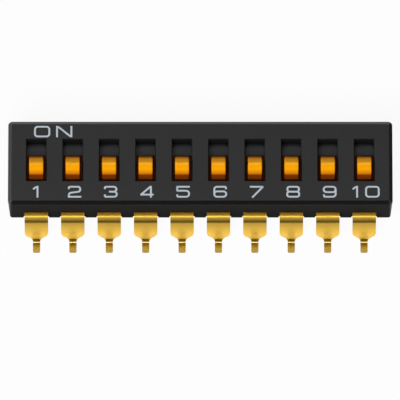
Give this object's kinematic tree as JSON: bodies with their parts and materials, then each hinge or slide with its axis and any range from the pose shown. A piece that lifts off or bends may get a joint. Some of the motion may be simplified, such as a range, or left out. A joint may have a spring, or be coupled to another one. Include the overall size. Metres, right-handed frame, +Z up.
{
  "type": "dip switch",
  "caption": "Surface-mount DIP switch: a row of raised slide actuators in a black moulded housing, with gull-wing leads along both long sides.",
  "frame": {"origin": "centre of the switch on the solder plane under its feet", "axes": "+X along the row, from position 1 to the last; +Y towards the ON side; +Z up, out of the board"},
  "size_m": [0.0268, 0.0098, 0.0049],
  "materials": {
    "cover_plastic": "fine matte moulded",
    "base_plastic": "matte moulded, glass filled",
    "slider_plastic": "satin moulded",
    "contact_metal": "gold-plated spring strip",
    "terminal_metal": "gold-plated stamped sheet"
  },
  "bodies": {
    "housing": {"cover": "cover_plastic", "base": "base_plastic", "terminal_near_1": "terminal_metal", "terminal_near_2": "terminal_metal", "terminal_near_3": "terminal_metal", "terminal_near_4": "terminal_metal", "terminal_near_5": "terminal_metal", "terminal_near_6": "terminal_metal", "terminal_near_7": "terminal_metal", "terminal_near_8": "terminal_metal", "terminal_near_9": "terminal_metal", "terminal_near_10": "terminal_metal", "terminal_far_1": "terminal_metal", "terminal_far_2": "terminal_metal", "terminal_far_3": "terminal_metal", "terminal_far_4": "terminal_metal", "terminal_far_5": "terminal_metal", "terminal_far_6": "terminal_metal", "terminal_far_7": "terminal_metal", "terminal_far_8": "terminal_metal", "terminal_far_9": "terminal_metal", "terminal_far_10": "terminal_metal"},
    "switch_1": {"slider_1": "slider_plastic", "contact_1": "contact_metal"},
    "switch_2": {"slider_2": "slider_plastic", "contact_2": "contact_metal"},
    "switch_3": {"slider_3": "slider_plastic", "contact_3": "contact_metal"},
    "switch_4": {"slider_4": "slider_plastic", "contact_4": "contact_metal"},
    "switch_5": {"slider_5": "slider_plastic", "contact_5": "contact_metal"},
    "switch_6": {"slider_6": "slider_plastic", "contact_6": "contact_metal"},
    "switch_7": {"slider_7": "slider_plastic", "contact_7": "contact_metal"},
    "switch_8": {"slider_8": "slider_plastic", "contact_8": "contact_metal"},
    "switch_9": {"slider_9": "slider_plastic", "contact_9": "contact_metal"},
    "switch_10": {"slider_10": "slider_plastic", "contact_10": "contact_metal"}
  },
  "joints": [
    {"name": "slide_1", "type": "slide", "parent": "housing", "child": "switch_1", "axis": [0, 1, 0], "range_m": [0, 0.00119]},
    {"name": "slide_2", "type": "slide", "parent": "housing", "child": "switch_2", "axis": [0, 1, 0], "range_m": [0, 0.00119]},
    {"name": "slide_3", "type": "slide", "parent": "housing", "child": "switch_3", "axis": [0, 1, 0], "range_m": [0, 0.00119]},
    {"name": "slide_4", "type": "slide", "parent": "housing", "child": "switch_4", "axis": [0, 1, 0], "range_m": [0, 0.00119]},
    {"name": "slide_5", "type": "slide", "parent": "housing", "child": "switch_5", "axis": [0, 1, 0], "range_m": [0, 0.00119]},
    {"name": "slide_6", "type": "slide", "parent": "housing", "child": "switch_6", "axis": [0, 1, 0], "range_m": [0, 0.00119]},
    {"name": "slide_7", "type": "slide", "parent": "housing", "child": "switch_7", "axis": [0, 1, 0], "range_m": [0, 0.00119]},
    {"name": "slide_8", "type": "slide", "parent": "housing", "child": "switch_8", "axis": [0, 1, 0], "range_m": [0, 0.00119]},
    {"name": "slide_9", "type": "slide", "parent": "housing", "child": "switch_9", "axis": [0, 1, 0], "range_m": [0, 0.00119]},
    {"name": "slide_10", "type": "slide", "parent": "housing", "child": "switch_10", "axis": [0, 1, 0], "range_m": [0, 0.00119]}
  ]
}
